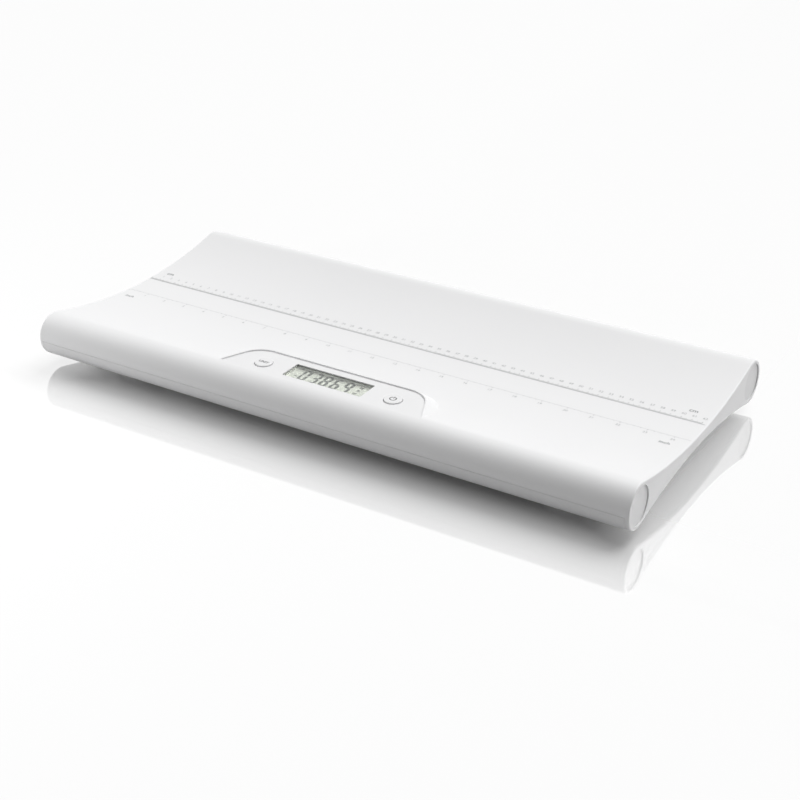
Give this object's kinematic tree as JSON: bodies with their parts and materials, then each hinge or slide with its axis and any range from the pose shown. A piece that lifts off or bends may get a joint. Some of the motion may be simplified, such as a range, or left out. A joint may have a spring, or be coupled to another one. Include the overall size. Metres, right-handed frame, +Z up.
{
  "type": "baby weighing scale",
  "caption": "Low baby weighing scale: a hollowed platform between round rolls, with a raised console for display and push buttons, a battery door and load-cell feet.",
  "frame": {"origin": "on the floor plane, at the centre of the bounding box's bottom face, midway between the feet", "axes": "+X to the user's right along the tray, +Y away from the user to the rear roll, +Z up"},
  "size_m": [0.628, 0.296, 0.0514],
  "materials": {
    "tray_white": "moulded, satin gloss",
    "cover_white": "moulded, satin",
    "cap_white": "moulded, satin gloss",
    "button_white": "moulded, gloss",
    "window_clear": "clear moulded plastic, polished",
    "lcd_glass": "grey-green reflective display",
    "holder_plastic": "moulded, matt",
    "strip_rubber": "layered conductive rubber",
    "board_green": "lacquered circuit board",
    "chip_black": "moulded component cases",
    "connector_plastic": "natural nylon",
    "switch_case": "moulded switch case",
    "plunger_plastic": "moulded",
    "battery_case": "sleeved steel can",
    "contact_steel": "nickel-plated spring steel",
    "pad_rubber": "soft grip pad",
    "foot_plastic": "moulded, matt",
    "load_cell_steel": "punched spring steel",
    "screw_steel": "zinc-plated",
    "lead_sleeve": "insulated lead"
  },
  "bodies": {
    "base": {"battery_contacts": "contact_steel", "battery_front_1": "battery_case", "battery_front_2": "battery_case", "battery_rear_1": "battery_case", "battery_rear_2": "battery_case", "battery_springs": "contact_steel", "board_components": "chip_black", "board_screws": "screw_steel", "bottom_cover": "cover_white", "button_switches": "switch_case", "display_window": "window_clear", "end_cap_front_left": "cap_white", "end_cap_front_right": "cap_white", "end_cap_rear_left": "cap_white", "end_cap_rear_right": "cap_white", "foot_front_left": "foot_plastic", "foot_front_right": "foot_plastic", "foot_pad_front_left": "pad_rubber", "foot_pad_front_right": "pad_rubber", "foot_pad_rear_left": "pad_rubber", "foot_pad_rear_right": "pad_rubber", "foot_rear_left": "foot_plastic", "foot_rear_right": "foot_plastic", "housing_screws": "screw_steel", "lcd_connector_strips": "strip_rubber", "lcd_holder": "holder_plastic", "lcd_panel": "lcd_glass", "lead_connectors": "connector_plastic", "load_cell_front_left": "load_cell_steel", "load_cell_front_right": "load_cell_steel", "load_cell_holder_front_left": "holder_plastic", "load_cell_holder_front_right": "holder_plastic", "load_cell_holder_rear_left": "holder_plastic", "load_cell_holder_rear_right": "holder_plastic", "load_cell_rear_left": "load_cell_steel", "load_cell_rear_right": "load_cell_steel", "main_board": "board_green", "sensor_lead_front_left": "lead_sleeve", "sensor_lead_front_right": "lead_sleeve", "sensor_lead_rear_left": "lead_sleeve", "sensor_lead_rear_right": "lead_sleeve", "tray_top_shell": "tray_white"},
    "unit_key": {"unit_button": "button_white", "unit_switch_plunger": "plunger_plastic"},
    "power_key": {"power_button": "button_white", "power_switch_plunger": "plunger_plastic"},
    "door": {"battery_door": "cover_white"}
  },
  "joints": [
    {"name": "unit_press", "type": "slide", "parent": "base", "child": "unit_key", "axis": [0, 0, -1], "range_m": [0, 0.0007], "stiffness_N_per_m": 400, "springref_m": -0.0005},
    {"name": "power_press", "type": "slide", "parent": "base", "child": "power_key", "axis": [0, 0, -1], "range_m": [0, 0.0007], "stiffness_N_per_m": 400, "springref_m": -0.0005},
    {"name": "door_hinge", "type": "hinge", "parent": "base", "child": "door", "pos_m": [0, -0.0771, 0.02044], "axis": [1, 0, 0], "range_deg": [0, 85]}
  ]
}
